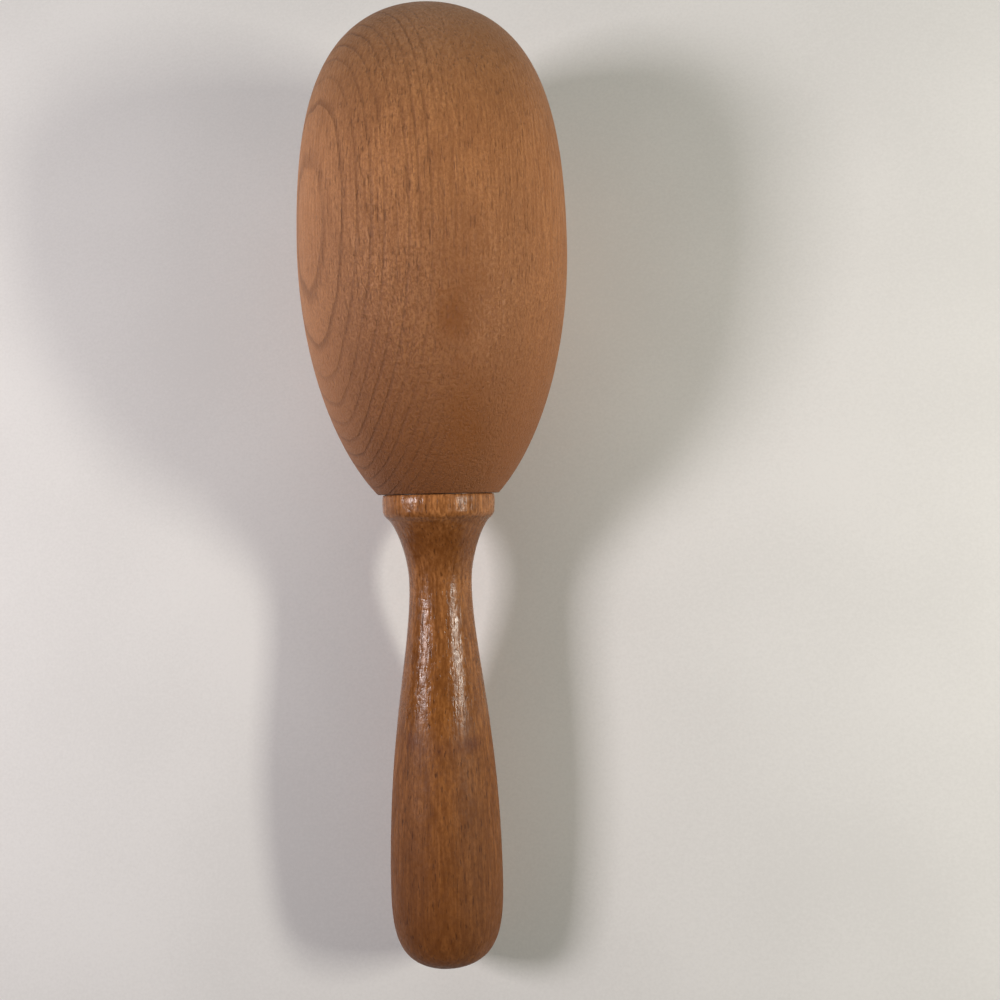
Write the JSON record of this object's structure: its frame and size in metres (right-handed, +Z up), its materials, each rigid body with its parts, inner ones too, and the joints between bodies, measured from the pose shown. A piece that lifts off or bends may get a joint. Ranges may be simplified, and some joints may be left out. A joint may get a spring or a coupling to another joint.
{
  "type": "darning egg",
  "caption": "Turned wooden darning egg: an egg-shaped head that stretches a sock heel for mending, glued onto a slim-necked, swelling handle.",
  "frame": {"origin": "on the supporting surface, under the middle of the bounding box, with the head's belly and the handle's swell both touching that surface", "axes": "+Z up; +Y along the tool towards the head's rounded nose; the turning axis lies in the YZ plane and dips about 7.2 degrees towards the butt"},
  "size_m": [0.0432, 0.1516, 0.0447],
  "materials": {
    "bare_wood": "bare, hand-worn diffuse-porous hardwood, dry and matt",
    "varnished_wood": "stained hardwood under an old, uneven glossy varnish",
    "glue": "hardened dark brown glue, satin"
  },
  "bodies": {
    "root": {"egg_head": "bare_wood", "handle": "varnished_wood", "glue_film": "glue"}
  },
  "joints": []
}
